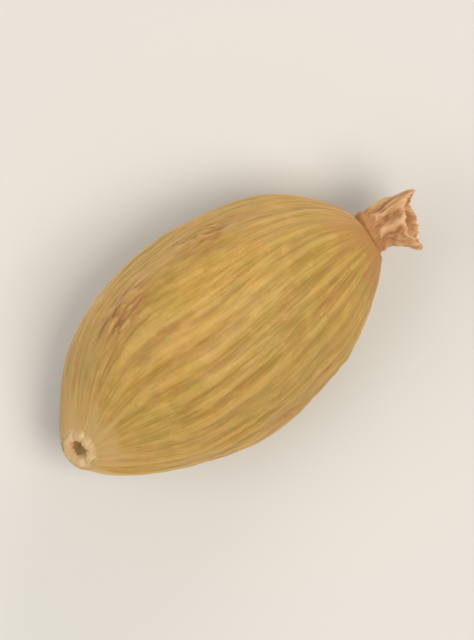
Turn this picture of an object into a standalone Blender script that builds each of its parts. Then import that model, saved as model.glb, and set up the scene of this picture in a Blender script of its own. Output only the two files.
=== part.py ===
"""A dried green cardamom pod, lying on its broadest face.

Metres, +Z up. +X runs along the pod, from the scar of its stalk to the withered flower tube. The origin is on the
surface that the pod lies on, under the middle of the whole pod. While the shapes are worked out, distances along
the pod start at the stalk end, and heights and sideways distances start at the pod's own axis.
"""

import functools
import math
import random

import bmesh
import bpy
from mathutils import Vector

MM = 0.001
FULL_TURN = 2 * math.pi

# The husk, from the stalk end to the neck that holds the flower tube
HUSK_LENGTH = 13.2 * MM
HUSK_WIDTH = 7.85 * MM
HUSK_HEIGHT = 7.2 * MM
WIDEST_AT = 6.9 * MM
SHOULDER_POWER = 2.2
TIP_POWER_STALK_END = 0.76
TIP_POWER_FLOWER_END = 0.66
BOW = 0.54 * MM
BOW_POWER_STALK_END = 3
BOW_POWER_FLOWER_END = 8
BODY_FROM = 0.66 * MM
BODY_TO = 13.15 * MM
BODY_RINGS = 30

# The three blunt ridges of the capsule, as angles round it from +Y up over the top
RIDGE_ANGLES = tuple(math.radians(degrees) for degrees in (64, 204, 328))
RIDGE_RISE = 0.2
RIDGE_SPREAD = math.radians(33)
RIDGES_FULL_AT_SWELL = 0.62

# The fine lengthwise ribs
RIBS = 30
STEPS_PER_RIB = 4
RIB_HEIGHT = 0.13 * MM
RIB_SHARPNESS = 1.8
RIB_UNEVENNESS = 0.22
RIB_STRENGTHS = (0.55, 1.1)
RIB_WAVE = 0.3
RIB_WAVE_LENGTHS = (5 * MM, 9 * MM)
RIBS_FULL_AT_SWELL = 0.87
RIB_MEANDER = math.radians(2.2)
RIB_MEANDER_LENGTH = 9 * MM
RIB_SEED = 11

# The shallow hollows and swellings of the faces: two waves, each with its count round the pod, the length along
# the pod in which it drifts by one radian, its phase and its share of the depth
DENT_DEPTH = 0.045 * MM
DENTS_FROM_SWELL = 0.2
DENTS_FULL_AT_SWELL = 0.93
BROAD_DENTS = (2, 1.9 * MM, 1.2, 1)
NARROW_DENTS = (5, -1.3 * MM, 2.4, 0.7)

# The scar where the stalk broke off: a rounded ring with a pit, which faces back and up
SCAR_AT = 0.62 * MM
SCAR_RING_RADIUS = 0.5 * MM
SCAR_RING_THICKNESS = 0.14 * MM
SCAR_RING_STEPS = 4
SCAR_PIT_DEPTH = 0.34 * MM
SCAR_SLANT = 0.8
SCAR_SLANT_FADE = 1.5 * MM

# The neck, with the socket that the flower tube's root sits in
NECK_RADIUS = 0.76 * MM
NECK_LENGTH = 0.18 * MM
SOCKET_RADIUS = 0.56 * MM
SOCKET_DEPTH = 0.34 * MM
SOCKET_GAP = 0.08 * MM

# The withered flower tube
TUBE_LENGTH = 1.4 * MM
TUBE_RADIUS = 0.68 * MM
TUBE_MOUTH_RADIUS = 0.95 * MM
TUBE_WALL = 0.2 * MM
TUBE_CUP_DEPTH = 0.6 * MM
TUBE_TURN_AT_NECK = math.radians(-9)
TUBE_TURN_AT_MOUTH = math.radians(-27)
TUBE_TURN_UP = math.radians(9)
TUBE_STEPS = 30
TUBE_RINGS = 9
TUBE_FLARE_FROM = 0.33
TUBE_OVALNESS = 0.07
TUBE_FOLDS = 7
TUBE_FOLD_DEPTH = 0.05 * MM
TUBE_FOLD_TWIST = 3
TUBE_FOLDS_FULL_AT = 0.25
TEETH_FROM = 0.6
TOOTH_ANGLES = tuple(math.radians(degrees) for degrees in (5, 172, 262))
TOOTH_LENGTHS = (0.42 * MM, 0.36 * MM, 0.24 * MM)
TOOTH_SPREAD = math.radians(38)

# The underside is cut flat by this much, so that the pod lies still
REST_CUT = 0.22 * MM

HUSK_COLOUR = (0.521, 0.301, 0.078, 1)
TUBE_COLOUR = (0.429, 0.212, 0.088, 1)


def clear_scene():
    """Remove whatever the scene holds."""
    for thing in list(bpy.data.objects):
        bpy.data.objects.remove(thing, do_unlink=True)


def dry_material(name, colour, roughness):
    """A dry, dull plant surface."""
    material = bpy.data.materials.new(name)
    material.use_nodes = True
    shader = material.node_tree.nodes["Principled BSDF"]
    shader.inputs["Base Color"].default_value = colour
    shader.inputs["Roughness"].default_value = roughness
    shader.inputs["Metallic"].default_value = 0
    return material


def ramp(value, start, end):
    """Rise smoothly from 0 to 1 as value goes from start to end."""
    share = min(1, max(0, (value - start) / (end - start)))
    return share * share * (3 - 2 * share)


def swell(along):
    """How plump the husk is at a distance along it: 1 at its widest and 0 at its two pointed ends."""
    reach = (along - WIDEST_AT) / (HUSK_LENGTH / 2)
    power = TIP_POWER_FLOWER_END if reach > 0 else TIP_POWER_STALK_END
    return max(0, 1 - abs(reach) ** SHOULDER_POWER) ** power


def bow(along):
    """How far the husk's middle line swings to +Y, which is less quickly lost towards the flower end."""
    reach = (along - WIDEST_AT) / (HUSK_LENGTH / 2)
    power = BOW_POWER_FLOWER_END if reach > 0 else BOW_POWER_STALK_END
    return BOW * max(0, 1 - abs(reach) ** power)


def angle_between(angle, other):
    """The smaller angle between two directions round the pod."""
    apart = abs(angle - other) % FULL_TURN
    return min(apart, FULL_TURN - apart)


def section(angle, ridged):
    """The outline across the husk, as a distance from its middle: a circle raised into three blunt ridges."""
    rise = sum(math.exp(-((angle_between(angle, ridge) / RIDGE_SPREAD) ** 2)) for ridge in RIDGE_ANGLES)
    return 1 + ridged * RIDGE_RISE * rise


@functools.cache
def section_box(ridged):
    """The sides of the box round that outline: lowest and highest y, then lowest and highest z."""
    angles = [math.radians(2 * step) for step in range(180)]
    across = [math.cos(angle) * section(angle, ridged) for angle in angles]
    upright = [math.sin(angle) * section(angle, ridged) for angle in angles]
    return min(across), max(across), min(upright), max(upright)


def make_ribs():
    """Each rib's place round the pod, strength, and how its strength changes along the pod."""
    draw = random.Random(RIB_SEED)
    ribs = []
    for index in range(RIBS):
        shift = draw.uniform(-RIB_UNEVENNESS, RIB_UNEVENNESS)
        strength = draw.uniform(*RIB_STRENGTHS)
        wave_length = draw.uniform(*RIB_WAVE_LENGTHS)
        phase = draw.uniform(0, FULL_TURN)
        ribs.append((FULL_TURN * (index + shift) / RIBS, strength, wave_length, phase))
    return ribs


def rib_strength(rib, along):
    """How tall one rib is at a distance along the pod."""
    _, strength, wave_length, phase = rib
    return strength * (1 + RIB_WAVE * math.sin(FULL_TURN * along / wave_length + phase))


def rib_lines(ribs):
    """The lines that the husk's points lie on, as pairs of ribs and the share of the way between them."""
    lines = []
    for index in range(RIBS):
        for step in range(STEPS_PER_RIB):
            lines.append((ribs[index], ribs[(index + 1) % RIBS], step / STEPS_PER_RIB))
    return lines


def line_angle(line, along):
    """Where a line is round the pod: evenly between its two ribs, with a slow meander."""
    near, far, share = line
    gap = (far[0] - near[0]) % FULL_TURN
    meander = RIB_MEANDER * math.sin(FULL_TURN * along / RIB_MEANDER_LENGTH + 2 * near[0])
    return near[0] + gap * share + meander


def rib_relief(line, along):
    """The height of the ribs on a line: full on a crest and nothing midway to the next."""
    near, far, share = line
    height = rib_strength(near, along) * (1 - share) + rib_strength(far, along) * share
    crest = (0.5 + 0.5 * math.cos(FULL_TURN * share)) ** RIB_SHARPNESS
    return RIB_HEIGHT * height * crest * ramp(swell(along), 0, RIBS_FULL_AT_SWELL)


def dents(angle, along):
    """The shallow hollows and swellings that drying leaves in the faces."""
    depth = 0
    for count, drift, phase, share in (BROAD_DENTS, NARROW_DENTS):
        depth += share * math.sin(count * angle + along / drift + phase)
    return DENT_DEPTH * depth * ramp(swell(along), DENTS_FROM_SWELL, DENTS_FULL_AT_SWELL)


def husk_point(line, along, half_width, half_height, ridged):
    """A point of the husk's surface."""
    angle = line_angle(line, along)
    distance = section(angle, ridged)
    low_y, high_y, low_z, high_z = section_box(ridged)
    across = (2 * math.cos(angle) * distance - low_y - high_y) / (high_y - low_y)
    upright = (2 * math.sin(angle) * distance - low_z - high_z) / (high_z - low_z)
    offset = Vector((0, half_width * across, half_height * upright))
    if ridged:
        offset += offset.normalized() * (rib_relief(line, along) + dents(angle, along))
    slant = SCAR_SLANT * math.exp(-max(0, along - SCAR_AT) / SCAR_SLANT_FADE)
    return Vector((along + slant * offset.z, bow(along) + offset.y, offset.z))


def husk_rings():
    """The husk's rings from the pit of the scar to the floor of the socket: along, width, height, ridged."""
    rings = [(SCAR_AT + SCAR_PIT_DEPTH, 0.5 * (SCAR_RING_RADIUS - SCAR_RING_THICKNESS))]
    for step in range(SCAR_RING_STEPS + 1):
        angle = math.pi * step / SCAR_RING_STEPS
        radius = SCAR_RING_RADIUS - SCAR_RING_THICKNESS * math.cos(angle)
        rings.append((SCAR_AT - SCAR_RING_THICKNESS * math.sin(angle), radius))
    rings = [(along, radius, radius, 0) for along, radius in rings]
    for step in range(BODY_RINGS):
        share = 0.5 - 0.5 * math.cos(math.pi * step / (BODY_RINGS - 1))
        along = BODY_FROM + (BODY_TO - BODY_FROM) * share
        plump = swell(along)
        width = max(plump * HUSK_WIDTH / 2, NECK_RADIUS)
        height = max(plump * HUSK_HEIGHT / 2, NECK_RADIUS)
        rings.append((along, width, height, round(ramp(plump, 0, RIDGES_FULL_AT_SWELL), 3)))
    rim = BODY_TO + NECK_LENGTH
    for along, radius in ((rim, NECK_RADIUS), (rim, SOCKET_RADIUS), (rim - SOCKET_DEPTH, SOCKET_RADIUS)):
        rings.append((along, radius, radius, 0))
    return rings


def loft(name, rings, first_pole, last_pole, material):
    """One closed object from rings of points, with a point at each end."""
    shape = bmesh.new()
    rows = [[shape.verts.new(point) for point in ring] for ring in rings]
    first = shape.verts.new(first_pole)
    last = shape.verts.new(last_pole)
    count = len(rows[0])
    for index in range(count):
        following = (index + 1) % count
        shape.faces.new((first, rows[0][following], rows[0][index]))
        shape.faces.new((last, rows[-1][index], rows[-1][following]))
        for row, upper in zip(rows, rows[1:]):
            shape.faces.new((row[index], row[following], upper[following], upper[index]))
    bmesh.ops.recalc_face_normals(shape, faces=shape.faces)
    mesh = bpy.data.meshes.new(name)
    shape.to_mesh(mesh)
    shape.free()
    mesh.materials.append(material)
    mesh.shade_smooth()
    mesh.set_sharp_from_angle(angle=math.radians(70))
    piece = bpy.data.objects.new(name, mesh)
    bpy.context.scene.collection.objects.link(piece)
    return piece


def make_husk(material):
    """The closed capsule, with its ridges, ribs, stalk scar and neck."""
    lines = rib_lines(make_ribs())
    rings = husk_rings()
    points = [[husk_point(line, *ring) for line in lines] for ring in rings]
    pit_floor, socket_floor = (Vector((along, bow(along), 0)) for along in (rings[0][0], rings[-1][0]))
    return loft("pod_husk", points, pit_floor, socket_floor, material)


def tube_frame(share):
    """The tube's middle, heading, side and up directions at a share of its length from the neck."""
    steps = 20
    middle = Vector((BODY_TO + NECK_LENGTH, bow(BODY_TO), 0))
    for step in range(steps):
        part = share * (step + 0.5) / steps
        middle += tube_heading(part) * (TUBE_LENGTH * share / steps)
    heading = tube_heading(share)
    side = Vector((0, 0, 1)).cross(heading).normalized()
    return middle, heading, side, heading.cross(side)


def tube_heading(share):
    """The way the tube points, which turns as it goes out."""
    sideways = TUBE_TURN_AT_NECK + (TUBE_TURN_AT_MOUTH - TUBE_TURN_AT_NECK) * share
    up = TUBE_TURN_UP * share
    return Vector((math.cos(up) * math.cos(sideways), math.cos(up) * math.sin(sideways), math.sin(up)))


def tube_flare(share):
    """The tube's outer radius: a waist near the neck, then a flare to the mouth."""
    return TUBE_RADIUS + (TUBE_MOUTH_RADIUS - TUBE_RADIUS) * ramp(share, TUBE_FLARE_FROM, 1)


def torn_edge(angle):
    """How far the rim stands out at an angle, in its three uneven teeth."""
    teeth = zip(TOOTH_ANGLES, TOOTH_LENGTHS)
    return sum(length * math.exp(-((angle_between(angle, tooth) / TOOTH_SPREAD) ** 2)) for tooth, length in teeth)


def tube_ring(share, radius, toothed, folded):
    """A ring of the tube's points at a share of its length, with so much of the teeth and of the folds."""
    middle, heading, side, up = tube_frame(share)
    points = []
    for step in range(TUBE_STEPS):
        angle = FULL_TURN * step / TUBE_STEPS
        fold = folded * TUBE_FOLD_DEPTH * math.sin(TUBE_FOLDS * angle + TUBE_FOLD_TWIST * share)
        reach = (radius + fold) * (1 + TUBE_OVALNESS * math.cos(2 * angle))
        outward = side * math.cos(angle) + up * math.sin(angle)
        points.append(middle + outward * reach + heading * torn_edge(angle) * toothed)
    return points


def make_flower_tube(material):
    """The withered tube, from its root in the husk's socket to its torn, hollow mouth."""
    root_radius = SOCKET_RADIUS - SOCKET_GAP
    root_depth = (SOCKET_DEPTH - SOCKET_GAP) / TUBE_LENGTH
    shoulder = SOCKET_GAP / TUBE_LENGTH
    rings = [tube_ring(-root_depth, root_radius, 0, 0), tube_ring(shoulder, root_radius, 0, 0)]
    for step in range(TUBE_RINGS):
        share = shoulder + (1 - shoulder) * step / (TUBE_RINGS - 1)
        toothed = ramp(share, TEETH_FROM, 1)
        rings.append(tube_ring(share, tube_flare(share), toothed, ramp(share, 0, TUBE_FOLDS_FULL_AT)))
    cup = TUBE_CUP_DEPTH / TUBE_LENGTH
    for depth in (0, 0.4, 0.8, 1):
        share = 1 - cup * depth
        radius = (tube_flare(share) - TUBE_WALL) * math.sqrt(1 - 0.75 * depth**2)
        rings.append(tube_ring(share, radius, 1 - ramp(depth, 0, 0.5), 1 - depth))
    root = tube_frame(-root_depth)[0]
    cup_floor = tube_frame(1 - cup)[0]
    return loft("withered_flower_tube", rings, root, cup_floor, material)


def lay_on_surface(pieces):
    """Cut the underside flat and bring the pod over the origin, resting at height 0."""
    points = [vertex.co for piece in pieces for vertex in piece.data.vertices]
    surface = min(point.z for point in points) + REST_CUT
    middle_x = (min(point.x for point in points) + max(point.x for point in points)) / 2
    middle_y = (min(point.y for point in points) + max(point.y for point in points)) / 2
    for point in points:
        point.x -= middle_x
        point.y -= middle_y
        point.z = max(point.z - surface, 0)


def main():
    clear_scene()
    husk = make_husk(dry_material("dried_husk", HUSK_COLOUR, 0.55))
    tube = make_flower_tube(dry_material("withered_petal", TUBE_COLOUR, 0.7))
    lay_on_surface((husk, tube))


main()
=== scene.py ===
"""Dresses a dried green cardamom pod: its ribbed husk, its withered flower tube and a plain stage.

The file is laid out as an add-on and is run as a script. Everything is in metres, +Z up, in the frame of
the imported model. +X runs along the pod, from the scar of its stalk to the flower tube. While the husk's
shape is worked out, distances along the pod start at the stalk end, and heights and sideways distances at
the pod's own axis.
"""

import math
import random

import bpy
import numpy as np
from mathutils import Matrix, Vector, noise


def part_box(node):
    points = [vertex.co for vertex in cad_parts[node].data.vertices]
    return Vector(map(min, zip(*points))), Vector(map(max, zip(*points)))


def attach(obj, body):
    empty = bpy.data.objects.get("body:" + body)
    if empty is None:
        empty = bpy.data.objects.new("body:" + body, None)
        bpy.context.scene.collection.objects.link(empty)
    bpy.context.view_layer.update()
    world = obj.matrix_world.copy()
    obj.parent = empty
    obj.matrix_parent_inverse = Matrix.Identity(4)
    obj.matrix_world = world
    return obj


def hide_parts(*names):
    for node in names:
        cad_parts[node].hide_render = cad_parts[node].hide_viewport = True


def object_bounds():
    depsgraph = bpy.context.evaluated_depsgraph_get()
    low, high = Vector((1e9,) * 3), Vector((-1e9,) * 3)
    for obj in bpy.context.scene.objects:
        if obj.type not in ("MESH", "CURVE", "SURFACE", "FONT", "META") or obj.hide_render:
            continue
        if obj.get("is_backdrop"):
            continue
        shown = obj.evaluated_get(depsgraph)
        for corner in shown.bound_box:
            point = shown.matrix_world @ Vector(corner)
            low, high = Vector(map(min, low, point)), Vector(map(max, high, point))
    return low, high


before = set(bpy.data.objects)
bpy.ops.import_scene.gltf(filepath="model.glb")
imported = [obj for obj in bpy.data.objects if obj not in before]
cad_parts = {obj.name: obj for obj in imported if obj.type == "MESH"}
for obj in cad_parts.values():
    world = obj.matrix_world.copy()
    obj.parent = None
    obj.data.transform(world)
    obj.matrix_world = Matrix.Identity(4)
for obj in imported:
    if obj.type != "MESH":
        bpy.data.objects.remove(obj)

bl_info = {
    "name": "Cardamom Pod",
    "version": (1, 0, 0),
    "blender": (4, 5, 0),
    "location": "View3D > Sidebar > Pod",
    "description": "Dresses a dried cardamom pod with its husk, its flower tube and a plain stage",
    "category": "Object",
}

MM = 0.001
FULL_TURN = 2 * math.pi
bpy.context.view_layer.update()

# The husk's outline, as the solid has it
WIDEST_AT = 6.9 * MM
SHOULDER_POWER = 2.2
TIP_POWER_STALK_END = 0.76
TIP_POWER_FLOWER_END = 0.66
BOW = 0.54 * MM
BOW_POWER_STALK_END = 3
BOW_POWER_FLOWER_END = 8
BODY_FROM = 0.66 * MM
BODY_TO = 13.15 * MM
RIDGE_ANGLES = tuple(math.radians(degrees) for degrees in (64, 204, 328))
RIDGE_RISE = 0.2
RIDGE_SPREAD = math.radians(33)
RIDGES_FULL_AT_SWELL = 0.62

# The lengthwise ribs and the broad dents, as the solid has them. Dents have a count, drift, phase and part
RIBS = 30
RIB_SHARPNESS = 1.8
RIB_UNEVENNESS = 0.22
RIB_STRENGTHS = (0.55, 1.1)
RIB_WAVE = 0.3
RIB_WAVE_LENGTHS = (5 * MM, 9 * MM)
RIBS_FULL_AT_SWELL = 0.87
RIB_MEANDER = math.radians(2.2)
RIB_MEANDER_LENGTH = 9 * MM
RIB_SEED = 11
DENT_DEPTH = 0.045 * MM
DENTS_FROM_SWELL = 0.2
DENTS_FULL_AT_SWELL = 0.93
BROAD_DENTS = (2, 1.9 * MM, 1.2, 1)
NARROW_DENTS = (5, -1.3 * MM, 2.4, 0.7)

# The stalk scar and the neck, as the solid has them
SCAR_AT = 0.62 * MM
SCAR_RING_RADIUS = 0.5 * MM
SCAR_RING_THICKNESS = 0.14 * MM
SCAR_PIT_DEPTH = 0.34 * MM
SCAR_SLANT = 0.8
SCAR_SLANT_FADE = 1.5 * MM
NECK_RADIUS = 0.76 * MM
NECK_LENGTH = 0.18 * MM

# What only the skin has: soft hollows to the tips, a round floor in the pit, and a collar round the tube
TIP_FILLET = 6
PIT_FLOOR_SHARE = 0.12
PIT_ROUNDNESS = 2.5
COLLAR_LENGTH = 0.9 * NECK_LENGTH
UNDER_TUBE_RADIUS = 0.5 * NECK_RADIUS

# The fineness of the husk's mesh, and how evenly its rings are spread
STEPS_PER_RIB = 16
BODY_RINGS = 170
SCAR_STEPS = 18
PIT_STEPS = 8
COLLAR_STEPS = 8
OUTLINE_STEPS = 180
EVEN_SPREAD = 0.35

# The radius where features have their full width, and the least that relief is measured against
MEAN_RADIUS = 4 * MM
LEAST_RADIUS = 0.1 * MM

# Features of the skin: their width and length, and the layer of noise that they come from
RIB_FADES = (0.9 * MM, 3.5 * MM, 1)
VEINS = (0.6 * MM, 8 * MM, 2)
SMALL_VEINS = (0.38 * MM, 5 * MM, 3)
FIBRES = (0.24 * MM, 2.4 * MM, 4)
SMALL_FIBRES = (0.14 * MM, 1.1 * MM, 5)
WRINKLES = (1.1 * MM, 0.34 * MM, 6)
WRINKLED_PLACES = (2 * MM, 2 * MM, 7)
CRINKLE_BENDS = (0.6 * MM, 0.5 * MM, 8)
CRINKLE_FOLDS = (0.3 * MM, 1 * MM, 9)
CRINKLE_GROOVES = (0.26 * MM, 0.8 * MM, 10)
SWAYS = (1.6 * MM, 1.2 * MM, 11)
SEED_SWELLS = (2.3 * MM, 2.5 * MM, 12)
BLOTCHES = (1.3 * MM, 1.3 * MM, 13)
FLECKS = (0.5 * MM, 0.9 * MM, 14)
DIMPLES = (0.42 * MM, 0.5 * MM, 15)
SMALL_FLECKS = (0.2 * MM, 0.5 * MM, 16)
LAYER_SPACING = 10

# How strong small features are, how thin lines are, how far they turn aside, and where relief fades in
SMALL_PART = 0.7
VEIN_SHARPNESS = 3
FOLD_SHARPNESS = 2.2
GROOVE_SHARPNESS = 4
SWAY_ANGLE = 0.025
BEND_ANGLE = 0.05
RIB_FADE_MIDDLE = 0.65
RIB_FADE_SPREAD = 1.5
RIB_FADE_LIMITS = (0.05, 1.3)
RELIEF_AT_SWELL = (0.02, 0.5)
WRINKLES_AT_NOISE = (-0.1, 0.3)
CRINKLES_AT_SHARE = (0.1, 0.9)

# The ragged scar: its crumbs, waves and notches, and how far wave, crumbs and notches stand out
CRUMB_SIZE = 0.26 * MM
SMALL_CRUMB_SIZE = 0.11 * MM
SCAR_WAVES = 1.3
SCAR_NOTCHES = 1.9
NOTCH_SHARPNESS = 5
SCAR_NOISE_STARTS = (3, 7, 5.5, 9.5)
SCAR_OUTWARD = (0.09 * MM, 0.05 * MM, -0.05 * MM)
SCAR_INWARD = (0.12 * MM, 0.07 * MM, 0.08 * MM)
STUB_HEIGHT = 0.22 * MM
STUB_UNEVENNESS = 0.2 * MM
RING_FROM_RADIUS = (0.24 * MM, 0.36 * MM)
PIT_TO_RADIUS = (0.2 * MM, 0.36 * MM)

# The husk's masks: how much of each is even, and how much comes with each of its patterns
BRUISED_EVENLY = 0.6
# The bruise brown added in the crinkles' grooves is painted shade
BRUISE_AS_GROOVE_SHADE = 0.5
BRUISED_IN_FLECKS = 1.9
GREEN_EVENLY = 0.8
GREEN_IN_BLOTCHES = 0.8
RING_EVENLY = 0.8
RING_IN_CRUMBS = 0.6
# The pit's dark brown is partly painted shade in the pit
PIT_EVENLY = 0.85
PIT_IN_CRUMBS = 0.8

# How brown the skin is at the flower tube and how pale at the scar, between which places, and how ragged
MOST_BROWNED = 0.9
BROWNED_AT = (11.9 * MM, 13 * MM)
BROWNED_RAGGEDNESS = 1.2 * MM
MOST_PALE = 0.3
PALE_ENDS_AT = (0.8 * MM, 1.7 * MM)
PALE_RAGGEDNESS = 0.8 * MM

# The raised masks, which tell crests from furrows for the painted highlight on crests and the painted
# shade in furrows: the steps averaged to each side, and the height spanned
RAISED_STEPS = 12
TUBE_RAISED_STEPS = 14
RAISED_RANGE = 0.1 * MM

# How many times longer the patterns of the fibres are along the husk and along the tube
FIBRE_STRETCH = 11
PETAL_STRETCH = 7

# How strong each finer octave of a material's pattern is against the one before
PATTERN_ROUGHNESS = 0.6

# Patches where drying has crinkled and bruised the skin: along, degrees round, half length, half width, share
CRINKLED_PATCHES = (
    (4.6 * MM, 48, 1.3 * MM, 0.75 * MM, 1),
    (8.7 * MM, 40, 1.2 * MM, 0.7 * MM, 0.9),
    (4.4 * MM, 116, 0.5 * MM, 0.3 * MM, 0.45),
    (10.8 * MM, 124, 0.8 * MM, 0.35 * MM, 0.5),
    (5.6 * MM, 236, 1.4 * MM, 0.6 * MM, 0.8),
    (9.3 * MM, 268, 0.9 * MM, 0.6 * MM, 0.7),
    (3.9 * MM, 318, 1.0 * MM, 0.5 * MM, 0.6),
    (7.6 * MM, 178, 1.1 * MM, 0.5 * MM, 0.6),
)

# Patches where the skin has kept some green: along, degrees round, half length, half width, share
GREEN_PATCHES = (
    (6.0 * MM, 62, 1.1 * MM, 0.7 * MM, 0.7),
    (8.3 * MM, 56, 0.9 * MM, 0.6 * MM, 0.6),
    (8.1 * MM, 118, 1.5 * MM, 0.8 * MM, 0.65),
    (11.4 * MM, 60, 0.9 * MM, 0.9 * MM, 0.5),
    (6.4 * MM, 262, 2.0 * MM, 1.2 * MM, 0.7),
    (9.4 * MM, 196, 1.6 * MM, 0.9 * MM, 0.5),
)

# The withered flower tube, as the solid has it
TUBE_LENGTH = 1.4 * MM
TUBE_RADIUS = 0.68 * MM
TUBE_MOUTH_RADIUS = 0.95 * MM
TUBE_CUP_DEPTH = 0.6 * MM
TUBE_TURN_AT_NECK = math.radians(-9)
TUBE_TURN_AT_MOUTH = math.radians(-27)
TUBE_TURN_UP = math.radians(9)
TUBE_FLARE_FROM = 0.33
TUBE_OVALNESS = 0.07
TUBE_FOLDS = 7
TUBE_FOLD_DEPTH = 0.05 * MM
TUBE_FOLD_TWIST = 3
TUBE_FOLDS_FULL_AT = 0.25
TEETH_FROM = 0.6
TOOTH_ANGLES = tuple(math.radians(degrees) for degrees in (5, 172, 262))
TOOTH_LENGTHS = (0.42 * MM, 0.36 * MM, 0.24 * MM)
TOOTH_SPREAD = math.radians(38)

# Where the tube begins under the husk's skin, how it widens there, and how its hollow closes
TUBE_ROOT_AT = -0.2
TUBE_ROOT_RADIUS = 0.4 * MM
TUBE_WALL_FROM = -0.1
GROWN_ON_WIDTH = 0.08 * MM
GROWN_ON_LENGTH = 0.07
CUP_CLOSES = 0.9
CUP_ROUNDNESS = 2.5
TEETH_FADE_IN_CUP = 0.66

# Features of the tube: cells in its radius, cells in its length, and where their noise starts
TUBE_VEINS = (3.2, 1.1, 2)
TUBE_FIBRES = (9, 2.5, 9)
TUBE_CRUMPLES = (1.7, 3.4, 14)
TUBE_SMALL_CRUMPLES = (4, 6, 20)
SMALL_CRUMPLE_PART = 0.5
TUBE_VEIN_SHARPNESS = 4
TUBE_VEIN_HEIGHT = 0.035 * MM
TUBE_FIBRE_HEIGHT = 0.03 * MM
TUBE_CRUMPLE_HEIGHT = 0.11 * MM
TUBE_VEIN_TWIST = 0.5

# The tears in the tube's rim: cells in its radius, and how deep they go
RIM_TEARS = ((4, 0.09 * MM), (9, 0.07 * MM), (26, 0.035 * MM))

# The tube's masks: where they fade, how pale the rim is, and their columns in the profile. The pale rim
# is painted light through the thin edge, and deep in the cup the wall is painted darker as painted shade
# The paleness painted on the rim stands for light through its thin edge: painted light
PALE_RIM_FROM = 0.85
RIM_PALENESS = 0.8
RIM_PALENESS_ON_TOP = 0.85
RIM_FADES_IN_CUP = 0.25
ROOT_FADES = (-0.05, 0.4)
DEEP_IN_CUP = (0.1, 0.9)
MASK_COLUMNS = {"painted_rim_glow": 4, "root": 5, "cup_shade": 6}

# The fineness of the tube's mesh
TUBE_STEPS = 288
TUBE_RINGS = 80
TUBE_BEND_STEPS = 20
RIM_STEPS = 8
CUP_RINGS = 48

# The stage
POD_ANGLE_IN_PHOTO = math.radians(36.4)
FRAME_WIDTH = 16.6 * MM
IMAGE_WIDTH = 474
IMAGE_HEIGHT = 640
LENS_MM = 200
SENSOR_MM = 36
CAMERA_REACH = 10
FLOOR_DROP = 0.01 * MM
ROOM_LIGHT = 0.37

# The soft boxes: name, place, side, watts and colour
SOFT_BOXES = (
    ("key_light", (0.05, -0.09, 0.23), 0.12, 0.37, (1, 0.97, 0.92)),
    ("rim_light", (0.16, 0.1, 0.06), 0.1, 0.13, (1, 0.98, 0.95)),
    ("fill_light", (-0.16, 0.08, 0.18), 0.22, 0.26, (0.94, 0.97, 1)),
)


def linear(hex_colour):
    """The linear colour of an sRGB hex value."""
    parts = [int(hex_colour[place : place + 2], 16) / 255 for place in (1, 3, 5)]
    return tuple(part / 12.92 if part <= 0.04045 else ((part + 0.055) / 1.055) ** 2.4 for part in parts)


def ramp(value, start, end):
    """Rise smoothly from 0 to 1 as value goes from start to end."""
    share = np.clip((value - start) / (end - start), 0, 1)
    return share * share * (3 - 2 * share)


def swell(along, length):
    """How plump the husk is at a distance along it: 1 at its widest and 0 at its two pointed ends."""
    reach = (along - WIDEST_AT) / (length / 2)
    power = np.where(reach > 0, TIP_POWER_FLOWER_END, TIP_POWER_STALK_END)
    return np.clip(1 - np.abs(reach) ** SHOULDER_POWER, 0, None) ** power


def bow(along, length):
    """How far the husk's middle line swings to +Y, which is less quickly lost towards the flower end."""
    reach = (along - WIDEST_AT) / (length / 2)
    power = np.where(reach > 0, BOW_POWER_FLOWER_END, BOW_POWER_STALK_END)
    return BOW * np.clip(1 - np.abs(reach) ** power, 0, None)


def angle_between(angle, other):
    """The smaller angle between two directions round the pod."""
    apart = np.abs(angle - other) % FULL_TURN
    return np.minimum(apart, FULL_TURN - apart)


def section(angle, ridged):
    """The outline across the husk, as a distance from its middle: a circle raised into three blunt ridges."""
    rise = sum(np.exp(-((angle_between(angle, ridge) / RIDGE_SPREAD) ** 2)) for ridge in RIDGE_ANGLES)
    return 1 + ridged * RIDGE_RISE * rise


def noise_at(places):
    """Smooth random values between about -0.6 and 0.6, in cells of one unit, which are the same each run."""
    values = [noise.noise(place) for place in places.reshape(-1, 3).tolist()]
    return np.array(values).reshape(places.shape[:-1])


def fine_lines(values, sharpness):
    """Thin lines where noise passes through nothing, so that they wander, meet and part."""
    return np.clip(1 - sharpness * np.abs(values), 0, 1)


def smoothed(values, steps):
    """Values round the pod, each the mean of its neighbours up to so many steps away."""
    return sum(np.roll(values, step, axis=1) for step in range(-steps, steps + 1)) / (2 * steps + 1)


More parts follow.
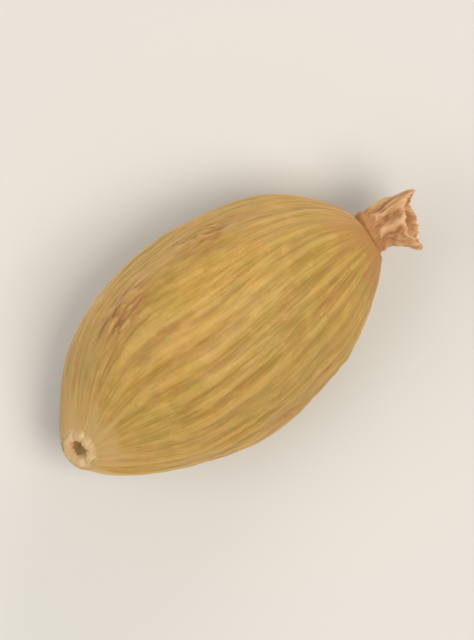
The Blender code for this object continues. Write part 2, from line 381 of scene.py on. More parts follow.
class PodSizes(bpy.types.PropertyGroup):
    """The sizes of the pod that a user would change."""

    husk_length: bpy.props.FloatProperty(
        name="Husk length",
        description="From the stalk scar to the neck",
        default=13.2 * MM,
        unit="LENGTH",
    )
    husk_width: bpy.props.FloatProperty(
        name="Husk width",
        description="Across the widest place, without the ribs",
        default=7.85 * MM,
        unit="LENGTH",
    )
    husk_height: bpy.props.FloatProperty(
        name="Husk height",
        description="From the lowest to the highest place",
        default=7.2 * MM,
        unit="LENGTH",
    )
    rib_height: bpy.props.FloatProperty(
        name="Rib height",
        description="Of the lengthwise ribs over the skin",
        default=0.065 * MM,
        unit="LENGTH",
    )
    vein_height: bpy.props.FloatProperty(
        name="Vein height",
        description="Of the thin veins between the ribs",
        default=0.022 * MM,
        unit="LENGTH",
    )
    fibre_height: bpy.props.FloatProperty(
        name="Fibre height",
        description="Of the shrunken fibres in the skin",
        default=0.026 * MM,
        unit="LENGTH",
    )
    wrinkle_height: bpy.props.FloatProperty(
        name="Wrinkle height",
        description="Of the faint wrinkles across",
        default=0.035 * MM,
        unit="LENGTH",
    )
    seed_height: bpy.props.FloatProperty(
        name="Seed height",
        description="Of the soft swells over the seeds",
        default=0.15 * MM,
        unit="LENGTH",
    )
    crinkle_height: bpy.props.FloatProperty(
        name="Crinkle height",
        description="Of the folds in crinkled patches",
        default=0.1 * MM,
        unit="LENGTH",
    )
    petal_thickness: bpy.props.FloatProperty(
        name="Petal thickness",
        description="Of the flower tube's dry wall",
        default=0.06 * MM,
        unit="LENGTH",
    )
    floor_size: bpy.props.FloatProperty(
        name="Floor size",
        description="Side of the square floor",
        default=0.6,
        unit="LENGTH",
    )


class PodColours(bpy.types.PropertyGroup):
    """The colours of the pod and its stage."""

    straw: bpy.props.FloatVectorProperty(
        name="Straw",
        description="Most of the dry skin",
        default=linear("#bf933f"),
        subtype="COLOR",
    )
    olive: bpy.props.FloatVectorProperty(
        name="Olive",
        description="Where the skin has kept some green",
        default=linear("#9f8a38"),
        subtype="COLOR",
    )
    rosy: bpy.props.FloatVectorProperty(
        name="Rosy",
        description="Where the skin has turned warmer",
        default=linear("#c08745"),
        subtype="COLOR",
    )
    # Paler straw for the mottles, streaks and fibres, and the painted highlight on the rib crests
    crest: bpy.props.FloatVectorProperty(
        name="Rib crest",
        description="The bleached crests of the ribs",
        default=linear("#d0a85a"),
        subtype="COLOR",
    )
    # Darker brown for the streaks, fibres and specks, and the painted shade in the furrows between the ribs
    darker_skin_and_shade: bpy.props.FloatVectorProperty(
        name="Furrow",
        description="The skin between the ribs",
        default=linear("#966b29"),
        subtype="COLOR",
    )
    # Bruise brown of the crinkled patches, also painted as shade in their grooves
    bruise_and_shade_colour: bpy.props.FloatVectorProperty(
        name="Bruise",
        description="Bruised skin in the crinkled patches",
        default=linear("#ac703c"),
        subtype="COLOR",
    )
    tip: bpy.props.FloatVectorProperty(
        name="Tip",
        description="The browned skin near the flower tube",
        default=linear("#b27d47"),
        subtype="COLOR",
    )
    scar: bpy.props.FloatVectorProperty(
        name="Scar ring",
        description="The corky ring of the stalk scar",
        default=linear("#dab887"),
        subtype="COLOR",
    )
    # Brown of the pith in the scar's pit, painted darker as the shade in the pit as well
    pith_and_pit_shade: bpy.props.FloatVectorProperty(
        name="Scar pit",
        description="The pith in the middle of the scar",
        default=linear("#86602f"),
        subtype="COLOR",
    )
    petal: bpy.props.FloatVectorProperty(
        name="Petal",
        description="The withered flower tube",
        default=linear("#bb8955"),
        subtype="COLOR",
    )
    # Pale petal colour for the stains, the painted highlight on crests and the painted light at the thin rim
    pale_petal_and_light: bpy.props.FloatVectorProperty(
        name="Petal edge",
        description="The thin torn rim of the tube",
        default=linear("#e0b887"),
        subtype="COLOR",
    )
    # Darker petal brown for the veins, and the painted shade in hollows and deep in the cup
    petal_vein_and_shade: bpy.props.FloatVectorProperty(
        name="Petal root",
        description="The tube where it is thickest",
        default=linear("#9a6337"),
        subtype="COLOR",
    )
    floor: bpy.props.FloatVectorProperty(
        name="Floor",
        description="The pale floor",
        default=linear("#d9d5cd"),
        subtype="COLOR",
    )


def socket(sockets, name):
    """The socket with that identifier or name."""
    return next(one for one in sockets if name in (one.identifier, one.name))


def add_node(tree, kind, settings, links):
    """Add a node. Settings are its properties and unlinked inputs; links give an input's node and output."""
    node = tree.nodes.new(kind)
    for name in [name for name in settings if hasattr(node, name)]:
        setattr(node, name, settings[name])
    for name in [name for name in settings if not hasattr(node, name)]:
        socket(node.inputs, name).default_value = settings[name]
    for name, (source, output) in links.items():
        tree.links.new(socket(source.outputs, output), socket(node.inputs, name))
    return node


def dried_surface(name, ground, masks, patterns, layers, bumps, values):
    """The material of a dried plant's surface, which lays colours over a ground colour.

    Masks are the amounts that the mesh carries. Each pattern has the place that it reads, the width of its
    features in mm and its detail. Each layer has a colour, the mask or pattern that it follows, the values of
    that at which it is absent and full, and how much of it there is then. Each bump has a pattern, a height
    in mm and a strength.
    """
    material = bpy.data.materials.new(name)
    material.use_nodes = True
    tree = material.node_tree
    shader = tree.nodes["Principled BSDF"]
    surface = add_node(tree, "ShaderNodeTexCoord", {}, {})
    fibres = add_node(tree, "ShaderNodeAttribute", {"attribute_name": "fibre_place"}, {})
    places = {"surface": (surface, "Object"), "drawn out": (fibres, "Vector")}
    amounts = {}
    for mask in masks:
        amounts[mask] = (add_node(tree, "ShaderNodeAttribute", {"attribute_name": mask}, {}), "Fac")
    for pattern, (place, width, detail) in patterns.items():
        settings = {"Scale": 1 / (width * MM), "Detail": detail, "Roughness": PATTERN_ROUGHNESS}
        node = add_node(tree, "ShaderNodeTexNoise", settings, {"Vector": places[place]})
        amounts[pattern] = (node, "Fac")

    under = {}
    for colour, source, absent, full, most in layers:
        settings = {"From Min": absent, "From Max": full, "To Min": 0, "To Max": most}
        amount = add_node(tree, "ShaderNodeMapRange", settings, {"Value": amounts[source]})
        settings = {"data_type": "RGBA", "A_Color": (*ground, 1), "B_Color": (*colour, 1)}
        mix = add_node(tree, "ShaderNodeMix", settings, {"Factor_Float": (amount, "Result"), **under})
        under = {"A_Color": (mix, "Result_Color")}
    tree.links.new(socket(mix.outputs, "Result_Color"), shader.inputs["Base Color"])

    under = {}
    for source, height, strength in bumps:
        settings = {"Distance": height * MM, "Strength": strength}
        bump = add_node(tree, "ShaderNodeBump", settings, {"Height": amounts[source], **under})
        under = {"Normal": (bump, "Normal")}
    tree.links.new(bump.outputs["Normal"], shader.inputs["Normal"])
    for value_name, value in values.items():
        shader.inputs[value_name].default_value = value
    return material


def cured_husk_skin(colours):
    """Capsule skin, shrunk on the plant and then cured in warm air: a papery, faintly waxy parchment.

    Its fibres run lengthwise and catch the light in fine streaks. The crests are painted paler as painted
    highlight and the furrows darker as painted shade, some green is left in patches, and crinkled patches
    bruise to a red brown, with more of it painted in their grooves as painted shade.
    """
    # The strands that run in the skin are 0.1 to 0.4 mm apart. Its cells are about 0.03 mm wide, which is
    # less than a pixel of the render, so the grain is drawn at twice that, the finest that shows.
    patterns = {
        "patches": ("surface", 2.4, 4),
        "blush": ("surface", 1.1, 3),
        "mottles": ("surface", 0.55, 3),
        "specks": ("surface", 0.2, 2),
        "grain": ("surface", 0.07, 3),
        "streaks": ("drawn out", 0.4, 3),
        "fibres": ("drawn out", 0.11, 4),
    }
    layers = (
        (colours.olive, "patches", 0.46, 0.7, 0.7),
        (colours.olive, "green", 0, 1, 0.9),
        (colours.rosy, "blush", 0.5, 0.72, 0.75),
        (colours.crest, "mottles", 0.52, 0.66, 0.4),
        (colours.olive, "mottles", 0.47, 0.34, 0.45),
        # Bruise brown in the crinkled patches, with painted shade in their grooves
        (colours.bruise_and_shade_colour, "bruise_and_groove_shade", 0, 1, 0.9),
        (colours.darker_skin_and_shade, "streaks", 0.5, 0.3, 0.22),
        (colours.crest, "streaks", 0.54, 0.72, 0.25),
        (colours.darker_skin_and_shade, "fibres", 0.49, 0.36, 0.5),
        (colours.crest, "fibres", 0.53, 0.68, 0.6),
        # Painted highlight on the rib crests and painted shade in the furrows, from how raised each point is
        (colours.crest, "raised", 0.52, 0.9, 0.35),
        (colours.darker_skin_and_shade, "raised", 0.48, 0.15, 0.32),
        (colours.darker_skin_and_shade, "specks", 0.66, 0.76, 0.55),
        (colours.tip, "browned", 0, 1, 0.8),
        (colours.scar, "scar_ring", 0, 1, 1),
        # The pith's brown, painted darker as painted shade in the scar's pit
        (colours.pith_and_pit_shade, "scar_pith_and_shade", 0, 1, 1),
    )
    values = {
        "Roughness": 0.5,
        "IOR": 1.45,
        "Subsurface Weight": 0.1,
        "Subsurface Radius": (1, 0.5, 0.15),
        "Subsurface Scale": 0.35 * MM,
        "Sheen Weight": 1,
        "Sheen Roughness": 0.38,
        "Sheen Tint": (*colours.scar, 1),
    }
    masks = ("raised", "bruise_and_groove_shade", "browned", "scar_ring", "scar_pith_and_shade", "green")
    bumps = (("fibres", 0.022, 0.9), ("grain", 0.01, 0.8))
    return dried_surface("cured_cardamom_skin", colours.straw, masks, patterns, layers, bumps, values)


def withered_petal(colours):
    """Petal tissue withered on the fruit: paper thin, matte, pinkish tan, thickest and brownest at its root.

    Its lengthwise veins are a little darker. Its torn rim is painted pale, painted light through the thin
    edge; folds and veins get painted highlight on their crests and painted shade in their hollows, and
    deep in the cup the wall is painted darker as painted shade.
    """
    # The veins are about 0.08 mm apart. The cells are about 0.02 mm wide, too fine for the render, so the
    # grain is drawn at 0.05 mm.
    patterns = {
        "veins": ("drawn out", 0.08, 3),
        "stains": ("surface", 0.4, 3),
        "grain": ("surface", 0.05, 3),
    }
    layers = (
        (colours.petal_vein_and_shade, "veins", 0.52, 0.34, 0.6),
        (colours.pale_petal_and_light, "stains", 0.5, 0.72, 0.55),
        # Painted highlight on the crests of folds and veins, and painted shade in their hollows
        (colours.pale_petal_and_light, "raised", 0.55, 0.9, 0.6),
        (colours.petal_vein_and_shade, "raised", 0.45, 0.1, 0.7),
        (colours.tip, "root", 0, 1, 1),
        # Painted shade deep inside the cup of the mouth
        (colours.petal_vein_and_shade, "cup_shade", 0, 1, 0.85),
        # Painted light: the rim painted pale, as light through the thin edge
        (colours.pale_petal_and_light, "painted_rim_glow", 0, 1, 0.75),
    )
    values = {
        "Roughness": 0.66,
        "IOR": 1.45,
        "Subsurface Weight": 0.25,
        "Subsurface Radius": (1, 0.5, 0.25),
        "Subsurface Scale": 0.2 * MM,
        "Sheen Weight": 0.2,
        "Sheen Roughness": 0.4,
    }
    masks = ("painted_rim_glow", "root", "cup_shade", "raised")
    bumps = (("veins", 0.014, 0.7), ("grain", 0.006, 0.6))
    return dried_surface("withered_petal_tissue", colours.petal, masks, patterns, layers, bumps, values)


def matte_board(colours):
    """Painted board with a dead matte finish, which gives the eye nothing but the pod's soft shadow."""
    material = bpy.data.materials.new("matte_painted_board")
    material.use_nodes = True
    inputs = material.node_tree.nodes["Principled BSDF"].inputs
    inputs["Base Color"].default_value = (*colours.floor, 1)
    inputs["Roughness"].default_value = 0.9
    inputs["Specular IOR Level"].default_value = 0.2
    return material


def rib_lines():
    """The lines that the husk's points lie on: angle, share of the way to the next rib, and both ribs."""
    draw = random.Random(RIB_SEED)
    ribs = []
    for index in range(RIBS):
        shift = draw.uniform(-RIB_UNEVENNESS, RIB_UNEVENNESS)
        strength = draw.uniform(*RIB_STRENGTHS)
        wave_length = draw.uniform(*RIB_WAVE_LENGTHS)
        phase = draw.uniform(0, FULL_TURN)
        ribs.append((FULL_TURN * (index + shift) / RIBS, strength, wave_length, phase))
    ribs = np.array(ribs)
    near = np.repeat(np.arange(RIBS), STEPS_PER_RIB)
    share = np.tile(np.arange(STEPS_PER_RIB) / STEPS_PER_RIB, RIBS)
    far = (near + 1) % RIBS
    gap = (ribs[far, 0] - ribs[near, 0]) % FULL_TURN
    return ribs[near, 0] + gap * share, share, ribs[near], ribs[far]


def rib_strength(rib, along):
    """How tall ribs are at distances along the pod."""
    return rib[:, 1] * (1 + RIB_WAVE * np.sin(FULL_TURN * along / rib[:, 2] + rib[:, 3]))


def with_fillet(radius, tip_radius):
    """The radius of the husk, which runs out into that of its tip in a soft hollow."""
    return (radius**TIP_FILLET + tip_radius**TIP_FILLET) ** (1 / TIP_FILLET)


def scar_rings():
    """The round rings of the stalk scar, from the floor of its pit over its ring: along and radius."""
    rounds = []
    pit_radius = SCAR_RING_RADIUS - SCAR_RING_THICKNESS
    for step in range(1, PIT_STEPS + 1):
        share = step / PIT_STEPS
        depth = SCAR_PIT_DEPTH * (1 - share**PIT_ROUNDNESS)
        rounds.append((SCAR_AT + depth, pit_radius * (PIT_FLOOR_SHARE + (1 - PIT_FLOOR_SHARE) * share)))
    for step in range(1, SCAR_STEPS + 1):
        angle = math.pi * step / SCAR_STEPS
        radius = SCAR_RING_RADIUS - SCAR_RING_THICKNESS * math.cos(angle)
        rounds.append((SCAR_AT - SCAR_RING_THICKNESS * math.sin(angle), radius))
    return rounds


def husk_rings(sizes):
    """The husk's rings from the pit of the scar to under the tube: along, half width, half height, ridged."""
    rings = [(along, radius, radius, 0) for along, radius in scar_rings()]
    for step in range(BODY_RINGS):
        share = step / (BODY_RINGS - 1)
        share = EVEN_SPREAD * share + (1 - EVEN_SPREAD) * (0.5 - 0.5 * math.cos(math.pi * share))
        along = BODY_FROM + (BODY_TO - BODY_FROM) * share
        plump = float(swell(along, sizes.husk_length))
        tip_radius = NECK_RADIUS if along > WIDEST_AT else SCAR_RING_RADIUS + SCAR_RING_THICKNESS
        width = with_fillet(plump * sizes.husk_width / 2, tip_radius)
        height = with_fillet(plump * sizes.husk_height / 2, tip_radius)
        ridged = float(ramp(plump, 0, RIDGES_FULL_AT_SWELL))
        rings.append((along, width, height, ridged))
    for step in range(1, COLLAR_STEPS + 1):
        share = step / COLLAR_STEPS
        inset = (width - TUBE_RADIUS) * (1 - (1 - share) ** 2)
        rings.append((BODY_TO + COLLAR_LENGTH * share, width - inset, height - inset, ridged))
    rings.append((BODY_TO, UNDER_TUBE_RADIUS, UNDER_TUBE_RADIUS, ridged))
    return np.array(rings)


class HuskGrid:
    """The husk's smooth three-sided body, as rings of points, and where each of them lies on it."""

    def __init__(self, sizes):
        rings = husk_rings(sizes)
        along, half_width, half_height, ridged = (rings[:, [column]] for column in range(4))
        self.rest_angle, self.share, self.near, self.far = rib_lines()
        meander = RIB_MEANDER * np.sin(FULL_TURN * along / RIB_MEANDER_LENGTH + 2 * self.rest_angle)
        self.angle = self.rest_angle + meander
        self.along = along + 0 * self.angle
        self.plump = swell(self.along, sizes.husk_length)
        self.on_body = (ridged > 0) * ramp(self.plump, *RELIEF_AT_SWELL)
        self.at_scar = (np.arange(len(rings))[:, None] < PIT_STEPS + SCAR_STEPS) + 0 * self.angle

        all_round = FULL_TURN * np.arange(OUTLINE_STEPS) / OUTLINE_STEPS
        outline = section(all_round, ridged)
        across, upright = np.cos(all_round) * outline, np.sin(all_round) * outline
        low_y, high_y = across.min(axis=1, keepdims=True), across.max(axis=1, keepdims=True)
        low_z, high_z = upright.min(axis=1, keepdims=True), upright.max(axis=1, keepdims=True)
        distance = section(self.angle, ridged)
        self.y = half_width * (2 * np.cos(self.angle) * distance - low_y - high_y) / (high_y - low_y)
        self.z = half_height * (2 * np.sin(self.angle) * distance - low_z - high_z) / (high_z - low_z)
        self.radius = np.hypot(self.y, self.z)

    def noise(self, feature, twist=0):
        """Noise in cells of a feature's size. It has no seam, and its cells narrow to the pod's ends."""
        width, length, layer = feature
        reach = MEAN_RADIUS / width
        angle = self.angle + twist
        places = [reach * np.cos(angle), reach * np.sin(angle), self.along / length + LAYER_SPACING * layer]
        return noise_at(np.stack(places, axis=-1))

    def in_patches(self, patches):
        """How strongly each point lies in one of the patches, from 0 to 1."""
        inside = np.zeros_like(self.angle)
        for middle, degrees, half_length, half_width, share in patches:
            aside = angle_between(self.angle, math.radians(degrees)) * self.radius
            apart = ((self.along - middle) / half_length) ** 2 + (aside / half_width) ** 2
            inside = np.maximum(inside, share * np.exp(-apart))
        return inside


def rib_relief(grid, height):
    """The ribs, as the solid has them, only lower, and dying down here and there."""
    crest = (0.5 + 0.5 * np.cos(FULL_TURN * grid.share)) ** RIB_SHARPNESS
    near, far = rib_strength(grid.near, grid.along), rib_strength(grid.far, grid.along)
    fading = np.clip(RIB_FADE_MIDDLE + RIB_FADE_SPREAD * grid.noise(RIB_FADES), *RIB_FADE_LIMITS)
    strength = (near + (far - near) * grid.share) * fading
    return height * strength * crest * ramp(grid.plump, 0, RIBS_FULL_AT_SWELL)


def dent_relief(grid):
    """The broad dents, as the solid has them."""
    dents = 0
    for count, drift_length, phase, part in (BROAD_DENTS, NARROW_DENTS):
        dents = dents + part * np.sin(count * grid.angle + grid.along / drift_length + phase)
    dented = ramp(grid.plump, DENTS_FROM_SWELL, DENTS_FULL_AT_SWELL) * (grid.on_body > 0)
    return DENT_DEPTH * dents * dented


def strand_relief(grid, sizes, sway):
    """Veins that meet and part, shrunken fibres between them, and faint wrinkles and dimples."""
    veins = fine_lines(grid.noise(VEINS, sway), VEIN_SHARPNESS)
    veins = veins + SMALL_PART * fine_lines(grid.noise(SMALL_VEINS, sway), VEIN_SHARPNESS)
    fibres = grid.noise(FIBRES, sway) + SMALL_PART * grid.noise(SMALL_FIBRES, sway)
    wrinkles = grid.noise(WRINKLES, sway) * ramp(grid.noise(WRINKLED_PLACES), *WRINKLES_AT_NOISE)
    wrinkles = wrinkles + SMALL_PART * grid.noise(DIMPLES)
    return sizes.vein_height * veins + sizes.fibre_height * fibres + sizes.wrinkle_height * wrinkles


def crinkle_relief(crinkled, grid, height, sway):
    """Short folds and grooves in the crinkled patches: their relief, and where the grooves run."""
    bent = sway + BEND_ANGLE * grid.noise(CRINKLE_BENDS)
    folds = fine_lines(grid.noise(CRINKLE_FOLDS, bent), FOLD_SHARPNESS)
    grooves = fine_lines(grid.noise(CRINKLE_GROOVES, bent), GROOVE_SHARPNESS)
    return height * ramp(crinkled, *CRINKLES_AT_SHARE) * (folds - grooves), grooves


def scar_relief(grid):
    """The ragged corky scar: relief outward and along the pod, the masks of ring and pit, and the crumbs."""
    circle = np.stack([np.cos(grid.angle), np.sin(grid.angle), 0 * grid.angle], axis=-1)
    disc = circle * grid.radius[..., None]
    crumb_start, small_crumb_start, wave_start, notch_start = SCAR_NOISE_STARTS
    crumbs = noise_at(disc / CRUMB_SIZE + crumb_start)
    crumbs = crumbs + SMALL_PART * noise_at(disc / SMALL_CRUMB_SIZE + small_crumb_start)
    wave = noise_at(circle * SCAR_WAVES + wave_start)
    notches = fine_lines(noise_at(circle * SCAR_NOTCHES + notch_start), NOTCH_SHARPNESS)
    in_ring = grid.at_scar * ramp(grid.radius, *RING_FROM_RADIUS)
    in_pit = grid.at_scar * (1 - ramp(grid.radius, *PIT_TO_RADIUS))
    outward = in_ring * sum(height * part for height, part in zip(SCAR_OUTWARD, (wave, crumbs, notches)))
    inward = in_ring * sum(height * part for height, part in zip(SCAR_INWARD, (wave, crumbs, notches)))
    stubs = in_pit * (STUB_HEIGHT + STUB_UNEVENNESS * crumbs)
    return outward, inward - stubs, in_ring, in_pit, crumbs


def husk_points(sizes):
    """The husk's points, rings by lines, the masks that its material reads, and the places of its fibres."""
    grid = HuskGrid(sizes)
    sway = SWAY_ANGLE * grid.noise(SWAYS)
    crinkled = grid.in_patches(CRINKLED_PATCHES)
    crinkles, grooves = crinkle_relief(crinkled, grid, sizes.crinkle_height, sway)
    lifted = rib_relief(grid, sizes.rib_height) + (strand_relief(grid, sizes, sway) + crinkles) * grid.on_body
    swells = sizes.seed_height * grid.noise(SEED_SWELLS) * grid.on_body
    outward, inward, in_ring, in_pit, crumbs = scar_relief(grid)

    scale = 1 + (lifted + dent_relief(grid) + swells + outward) / np.maximum(grid.radius, LEAST_RADIUS)
    slant = SCAR_SLANT * np.exp(-np.clip(grid.along - SCAR_AT, 0, None) / SCAR_SLANT_FADE)
    x = grid.along + slant * grid.z * scale + inward
    y = bow(grid.along, sizes.husk_length) + grid.y * scale
    points = np.stack([x, y, grid.z * scale], axis=-1)

    blotches = grid.noise(BLOTCHES)
    flecks = grid.noise(FLECKS) + SMALL_PART * grid.noise(SMALL_FLECKS)
    flower_end = ramp(grid.along + BROWNED_RAGGEDNESS * blotches, *BROWNED_AT)
    stalk_end = (1 - ramp(grid.along + PALE_RAGGEDNESS * blotches, *PALE_ENDS_AT)) * (1 - grid.at_scar)
    # Bruise brown: even in the patches, more in the flecks, and more in the grooves as painted shade
    bruising_and_groove_shade = BRUISED_EVENLY + BRUISE_AS_GROOVE_SHADE * grooves + BRUISED_IN_FLECKS * flecks
    masks = {
        # How far each point stands above its neighbours, which the skin turns into painted highlight and
        # shade
        "raised": 0.5 + (lifted - smoothed(lifted, RAISED_STEPS)) / RAISED_RANGE,
        "bruise_and_groove_shade": crinkled * bruising_and_groove_shade * grid.on_body,
        "browned": MOST_BROWNED * flower_end,
        "scar_ring": in_ring * (RING_EVENLY + RING_IN_CRUMBS * crumbs) + MOST_PALE * stalk_end,
        # The pit mask, whose dark brown is partly painted shade in the pit
        "scar_pith_and_shade": in_pit * (PIT_EVENLY + PIT_IN_CRUMBS * crumbs),
        "green": grid.in_patches(GREEN_PATCHES) * (GREEN_EVENLY + GREEN_IN_BLOTCHES * blotches),
    }
    around = [MEAN_RADIUS * np.cos(grid.rest_angle), MEAN_RADIUS * np.sin(grid.rest_angle)]
    places = [place + 0 * grid.along for place in around] + [grid.along / FIBRE_STRETCH]
    return points, masks, np.stack(places, axis=-1)


def loft(name, points, material):
    """One closed mesh object from rings of points, with one more point in the middle of each end ring."""
    rows, count = points.shape[:2]
    ends = [points[[0]].mean(axis=1), points[[-1]].mean(axis=1)]
    vertices = np.concatenate([points.reshape(-1, 3), *ends])
    row, column = np.meshgrid(np.arange(rows - 1), np.arange(count), indexing="ij")
    after = (column + 1) % count
    first, second = row * count, (row + 1) * count
    quads = np.stack([first + column, first + after, second + after, second + column], axis=-1).reshape(-1, 4)
    here = np.arange(count)
    after = (here + 1) % count
    last_row = (rows - 1) * count
    first_end = np.stack([0 * here + rows * count, after, here], axis=-1)
    last_end = np.stack([0 * here + rows * count + 1, last_row + here, last_row + after], axis=-1)
    mesh = bpy.data.meshes.new(name)
    mesh.from_pydata(vertices.tolist(), [], quads.tolist() + first_end.tolist() + last_end.tolist())
    mesh.materials.append(material)
    mesh.shade_smooth()
    piece = bpy.data.objects.new(name, mesh)
    bpy.context.scene.collection.objects.link(piece)
    return piece


def add_attribute(piece, name, kind, values):
    """Give every point of a lofted mesh a value. The two end points take the mean of their ring."""
    width = 3 if kind == "FLOAT_VECTOR" else 1
    values = values.reshape(*values.shape[:2], width)
    ends = [values[[0]].mean(axis=1), values[[-1]].mean(axis=1)]
    flat = np.concatenate([values.reshape(-1, width), *ends]).astype(np.float32).reshape(-1)
    layer = piece.data.attributes.new(name, kind, "POINT")
    layer.data.foreach_set("vector" if width == 3 else "value", flat)


def finish_piece(name, points, masks, fibre_place, material, node):
    """Make a piece from its points, with what its material reads, in place of a node of the solid model."""
    piece = loft(name, points, material)
    for mask, values in masks.items():
        add_attribute(piece, mask, "FLOAT", np.clip(values, 0, 1))
    add_attribute(piece, "fibre_place", "FLOAT_VECTOR", fibre_place)
    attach(piece, "root")
    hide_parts(node)


def pod_shift(points):
    """The move from the husk's own axis to the frame, where its neck, middle and top meet the solid's."""
    low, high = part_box("pod_husk")
    neck = BODY_TO + NECK_LENGTH
    middle = (points[..., 1].min() + points[..., 1].max()) / 2
    return np.array([high.x - neck, (low.y + high.y) / 2 - middle, high.z - points[..., 2].max()])


class POD_OT_husk(bpy.types.Operator):
    """Make the dried husk with its ribs, crinkles and stalk scar"""

    bl_idname = "pod.husk"
    bl_label = "Husk"

    def execute(self, context):
        points, masks, fibre_place = husk_points(context.scene.pod_sizes)
        shift = pod_shift(points)
        context.scene["pod_shift"] = shift.tolist()
        points = points + shift
        points[..., 2] = np.maximum(points[..., 2], 0)
        material = cured_husk_skin(context.scene.pod_colours)
        finish_piece("husk_skin", points, masks, fibre_place, material, "pod_husk")
        return {"FINISHED"}


def tube_heading(share):
    """The way the tube points, which turns as it goes out."""
    sideways = TUBE_TURN_AT_NECK + (TUBE_TURN_AT_MOUTH - TUBE_TURN_AT_NECK) * share
    up = TUBE_TURN_UP * share
    return Vector((math.cos(up) * math.cos(sideways), math.cos(up) * math.sin(sideways), math.sin(up)))


def tube_frame(share, start):
    """The tube's middle, heading, side and up directions at a share of its length from the neck."""
    middle = start.copy()
    for step in range(TUBE_BEND_STEPS):
        heading = tube_heading(share * (step + 0.5) / TUBE_BEND_STEPS)
        middle += heading * (TUBE_LENGTH * share / TUBE_BEND_STEPS)
    heading = tube_heading(share)
    side = Vector((0, 0, 1)).cross(heading).normalized()
    return [np.array(part) for part in (middle, heading, side, heading.cross(side))]


def tube_flare(share):
    """The tube's outer radius: widened where it grows from the neck, a waist, then a flare to the mouth."""
    grown_on = GROWN_ON_WIDTH * math.exp(-((share / GROWN_ON_LENGTH) ** 2))
    flare = float(ramp(share, TUBE_FLARE_FROM, 1))
    return TUBE_RADIUS + grown_on + (TUBE_MOUTH_RADIUS - TUBE_RADIUS) * flare


def torn_edge(angle):
    """How far the rim stands out at angles round it: three uneven teeth, with fine tears between."""
    edge = 0 * angle
    for tooth, length in zip(TOOTH_ANGLES, TOOTH_LENGTHS):
        edge = edge + length * np.exp(-((angle_between(angle, tooth) / TOOTH_SPREAD) ** 2))
    circle = np.stack([np.cos(angle), np.sin(angle), 0 * angle + 1], axis=-1)
    for fineness, height in RIM_TEARS:
        edge = edge + height * noise_at(circle * fineness)
    return edge


def tube_noise(circle, share, feature):
    """Noise round a ring of the tube, in cells of a feature's size."""
    across, lengthwise, start = feature
    return noise_at(circle * across + (0, 0, lengthwise * share + start))


def tube_ring(share, radius, toothed, folded, start):
    """A ring of the tube's points at a share of its length, and how far each is lifted by folds and veins."""
    middle, heading, side, up = tube_frame(share, start)
    angle = FULL_TURN * np.arange(TUBE_STEPS) / TUBE_STEPS
    fold = folded * TUBE_FOLD_DEPTH * np.sin(TUBE_FOLDS * angle + TUBE_FOLD_TWIST * share)
    wound = angle + TUBE_VEIN_TWIST * share
    circle = np.stack([np.cos(wound), np.sin(wound), 0 * angle], axis=-1)
    veins = fine_lines(tube_noise(circle, share, TUBE_VEINS), TUBE_VEIN_SHARPNESS)
    fibres = tube_noise(circle, share, TUBE_FIBRES)
    crumples = tube_noise(circle, share, TUBE_CRUMPLES)
    crumples = crumples + SMALL_CRUMPLE_PART * tube_noise(circle, share, TUBE_SMALL_CRUMPLES)
    relief = TUBE_VEIN_HEIGHT * veins + TUBE_FIBRE_HEIGHT * fibres
    lift = fold + relief + TUBE_CRUMPLE_HEIGHT * folded * crumples
    reach = (radius + lift) * (1 + TUBE_OVALNESS * np.cos(2 * angle))
    outward = side * np.cos(angle)[:, None] + up * np.sin(angle)[:, None]
    return middle + outward * reach[:, None] + heading * (torn_edge(angle) * toothed)[:, None], lift


def tube_profile(thickness):
    """The tube's rings, from under the husk's skin over the torn rim to the floor of its mouth.

    Each is a share of the length, a radius, a share of the teeth, a share of the folds, and the masks.
    """
    rows = [(TUBE_ROOT_AT, TUBE_ROOT_RADIUS, 0, 0, 0, 1, 0)]
    for step in range(TUBE_RINGS):
        share = TUBE_WALL_FROM + (1 - TUBE_WALL_FROM) * step / (TUBE_RINGS - 1)
        toothed, folded = ramp(share, TEETH_FROM, 1), ramp(share, 0, TUBE_FOLDS_FULL_AT)
        # The rim is painted paler as painted light through its thin edge
        painted_rim_glow, root = RIM_PALENESS * ramp(share, PALE_RIM_FROM, 1), 1 - ramp(share, *ROOT_FADES)
        rows.append((share, tube_flare(share), toothed, folded, painted_rim_glow, root, 0))
    for step in range(1, RIM_STEPS):
        angle = math.pi * step / RIM_STEPS
        share = 1 + 0.5 * thickness / TUBE_LENGTH * math.sin(angle)
        radius = tube_flare(1) - thickness * (1 - math.cos(angle)) / 2
        rows.append((share, radius, 1, 1, RIM_PALENESS_ON_TOP, 0, 0))
    for step in range(CUP_RINGS):
        depth = step / (CUP_RINGS - 1)
        share = 1 - TUBE_CUP_DEPTH / TUBE_LENGTH * depth
        radius = (tube_flare(share) - thickness) * math.sqrt(1 - CUP_CLOSES * depth**CUP_ROUNDNESS)
        # Deeper in the cup the wall is painted darker as painted shade
        toothed, cup_shade = 1 - ramp(depth, 0, TEETH_FADE_IN_CUP), ramp(depth, *DEEP_IN_CUP)
        painted_rim_glow = RIM_PALENESS * (1 - ramp(depth, 0, RIM_FADES_IN_CUP))
        rows.append((share, radius, toothed, 1 - depth, painted_rim_glow, 0, cup_shade))
    return np.array(rows)


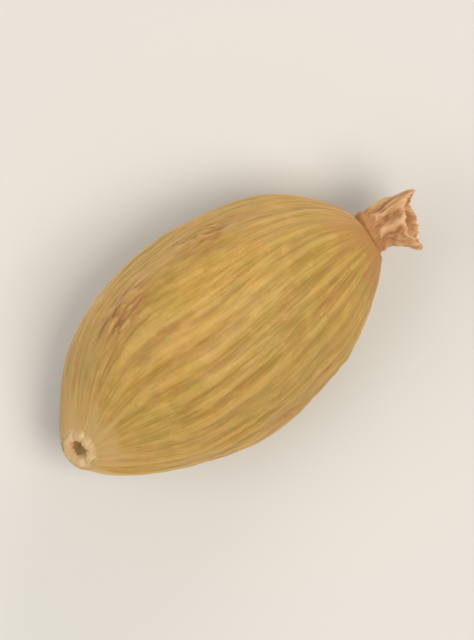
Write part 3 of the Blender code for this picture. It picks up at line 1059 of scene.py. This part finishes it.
class POD_OT_flower_tube(bpy.types.Operator):
    """Make the withered flower tube with its folds, veins and torn mouth"""

    bl_idname = "pod.flower_tube"
    bl_label = "Flower tube"

    def execute(self, context):
        sizes = context.scene.pod_sizes
        start = Vector((BODY_TO + NECK_LENGTH, float(bow(BODY_TO, sizes.husk_length)), 0))
        start += Vector(context.scene["pod_shift"])
        rows = tube_profile(sizes.petal_thickness)
        rings = [tube_ring(*row[:4], start) for row in rows]
        points = np.array([ring for ring, lift in rings])
        lift = np.array([lift for ring, lift in rings])
        masks = {name: rows[:, [column]] + 0 * lift for name, column in MASK_COLUMNS.items()}
        # How far each point stands above its neighbours round the ring, for the painted highlight and shade
        masks["raised"] = 0.5 + (lift - smoothed(lift, TUBE_RAISED_STEPS)) / RAISED_RANGE
        angle = FULL_TURN * np.arange(TUBE_STEPS) / TUBE_STEPS + 0 * lift
        along = rows[:, [0]] * TUBE_LENGTH / PETAL_STRETCH + 0 * lift
        fibre_place = np.stack([TUBE_RADIUS * np.cos(angle), TUBE_RADIUS * np.sin(angle), along], axis=-1)
        material = withered_petal(context.scene.pod_colours)
        node, slot = "withered_flower_tube", "withered_petal"
        finish_piece("flower_tube_skin", points, masks, fibre_place, material, node)
        return {"FINISHED"}


def soft_light(name, place, size, watts, colour, target):
    """A square soft box that faces the pod."""
    light = bpy.data.lights.new(name, "AREA")
    light.shape = "SQUARE"
    light.size = size
    light.energy = watts
    light.color = colour
    holder = bpy.data.objects.new(name, light)
    holder.location = place
    holder.rotation_euler = (target - Vector(place)).to_track_quat("-Z", "Y").to_euler()
    bpy.context.scene.collection.objects.link(holder)


def white_room():
    """Even white light from all round."""
    world = bpy.data.worlds.new("soft_white_room")
    world.use_nodes = True
    inputs = world.node_tree.nodes["Background"].inputs
    inputs["Color"].default_value = (1, 1, 1, 1)
    inputs["Strength"].default_value = ROOM_LIGHT
    bpy.context.scene.world = world


def frame_camera(target):
    """A long lens straight above the pod, turned so that the pod rises to the right as in the photograph."""
    camera = bpy.data.cameras.new("camera_above")
    camera.lens = LENS_MM
    camera.sensor_width = SENSOR_MM
    camera.clip_start = MM
    camera.clip_end = CAMERA_REACH
    distance = LENS_MM * FRAME_WIDTH / (SENSOR_MM * IMAGE_WIDTH / IMAGE_HEIGHT)
    holder = bpy.data.objects.new("camera_above", camera)
    turn = Matrix.Rotation(-POD_ANGLE_IN_PHOTO, 4, "Z")
    holder.matrix_world = Matrix.Translation(target + Vector((0, 0, distance))) @ turn
    bpy.context.scene.collection.objects.link(holder)
    bpy.context.scene.camera = holder


class POD_OT_stage(bpy.types.Operator):
    """Make the pale floor, the soft light and the camera"""

    bl_idname = "pod.stage"
    bl_label = "Stage"

    def execute(self, context):
        half = context.scene.pod_sizes.floor_size / 2
        mesh = bpy.data.meshes.new("floor")
        corners = [(x * half, y * half, -FLOOR_DROP) for x, y in ((-1, -1), (1, -1), (1, 1), (-1, 1))]
        mesh.from_pydata(corners, [], [(0, 1, 2, 3)])
        mesh.materials.append(matte_board(context.scene.pod_colours))
        floor = bpy.data.objects.new("floor", mesh)
        context.scene.collection.objects.link(floor)
        floor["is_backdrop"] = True

        low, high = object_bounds()
        target = (low + high) / 2
        for soft_box in SOFT_BOXES:
            soft_light(*soft_box, target)
        white_room()
        context.scene.view_settings.view_transform = "Standard"
        frame_camera(target)
        return {"FINISHED"}


class POD_PT_panel(bpy.types.Panel):
    """Lists what makes the pod, with its sizes and colours"""

    bl_label = "Cardamom pod"
    bl_idname = "POD_PT_panel"
    bl_space_type = "VIEW_3D"
    bl_region_type = "UI"
    bl_category = "Pod"

    def draw(self, context):
        for operator in OPERATORS:
            self.layout.operator(operator.bl_idname)
        for group in (context.scene.pod_sizes, context.scene.pod_colours):
            box = self.layout.box()
            for name in group.__annotations__:
                box.prop(group, name)


OPERATORS = (POD_OT_husk, POD_OT_flower_tube, POD_OT_stage)
CLASSES = (PodSizes, PodColours, *OPERATORS, POD_PT_panel)


def register():
    """Register the classes, and give the scene the pod's sizes and colours."""
    for one in CLASSES:
        bpy.utils.register_class(one)
    bpy.types.Scene.pod_sizes = bpy.props.PointerProperty(type=PodSizes)
    bpy.types.Scene.pod_colours = bpy.props.PointerProperty(type=PodColours)


def unregister():
    """Take away what register has given."""
    del bpy.types.Scene.pod_colours
    del bpy.types.Scene.pod_sizes
    for one in reversed(CLASSES):
        bpy.utils.unregister_class(one)


def main():
    """Make every piece and the stage."""
    register()
    bpy.ops.pod.husk()
    bpy.ops.pod.flower_tube()
    bpy.ops.pod.stage()


if __name__ == "__main__":
    main()
